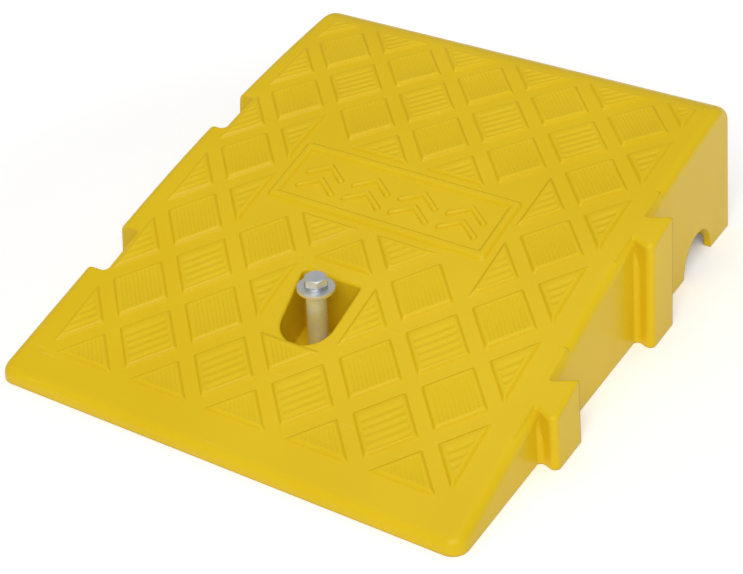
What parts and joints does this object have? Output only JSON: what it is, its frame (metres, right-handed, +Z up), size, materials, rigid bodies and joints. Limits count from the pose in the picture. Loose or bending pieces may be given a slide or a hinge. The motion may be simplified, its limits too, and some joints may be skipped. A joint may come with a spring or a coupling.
{
  "type": "threshold ramp",
  "caption": "Ribbed plastic kerb and threshold ramp segment with a diamond tread, interlocking side tabs and notches, a cable passage and a sleeve anchor standing in its bolt pocket.",
  "frame": {"origin": "middle of the ramp's floor outline without its tabs, on the floor", "axes": "+X across the ramp towards the tabs, +Y up the climb towards the high end, +Z up from the floor"},
  "size_m": [0.26, 0.3, 0.0747],
  "materials": {
    "yellow_plastic": "moulded satin, safety yellow right through",
    "zinc_bolt": "bright zinc plated",
    "zinc_washer": "bright zinc plated",
    "zinc_sleeve": "bright zinc plated, rolled"
  },
  "bodies": {
    "ramp": {"ramp_body": "yellow_plastic"},
    "anchor": {"expansion_sleeve": "zinc_sleeve", "flat_washer": "zinc_washer"},
    "bolt": {"hex_bolt": "zinc_bolt", "spring_washer": "zinc_washer"},
    "cone": {"cone_nut": "zinc_sleeve"}
  },
  "joints": [
    {"name": "anchor_drop", "type": "slide", "parent": "ramp", "child": "anchor", "axis": [0, 0, 1], "range_m": [-0.0363, 0.005]},
    {"name": "bolt_turn", "type": "hinge", "parent": "anchor", "child": "bolt", "pos_m": [0, -0.06209, 0.03], "axis": [0, 0, -1], "range_deg": [0, 900]},
    {"name": "cone_climb", "type": "slide", "parent": "anchor", "child": "cone", "axis": [0, 0, 1], "range_m": [0, 0.0025]}
  ],
  "couplings": [
    {"joint": "cone_climb", "follows": "bolt_turn", "m_per_rad": 0.00015915}
  ]
}
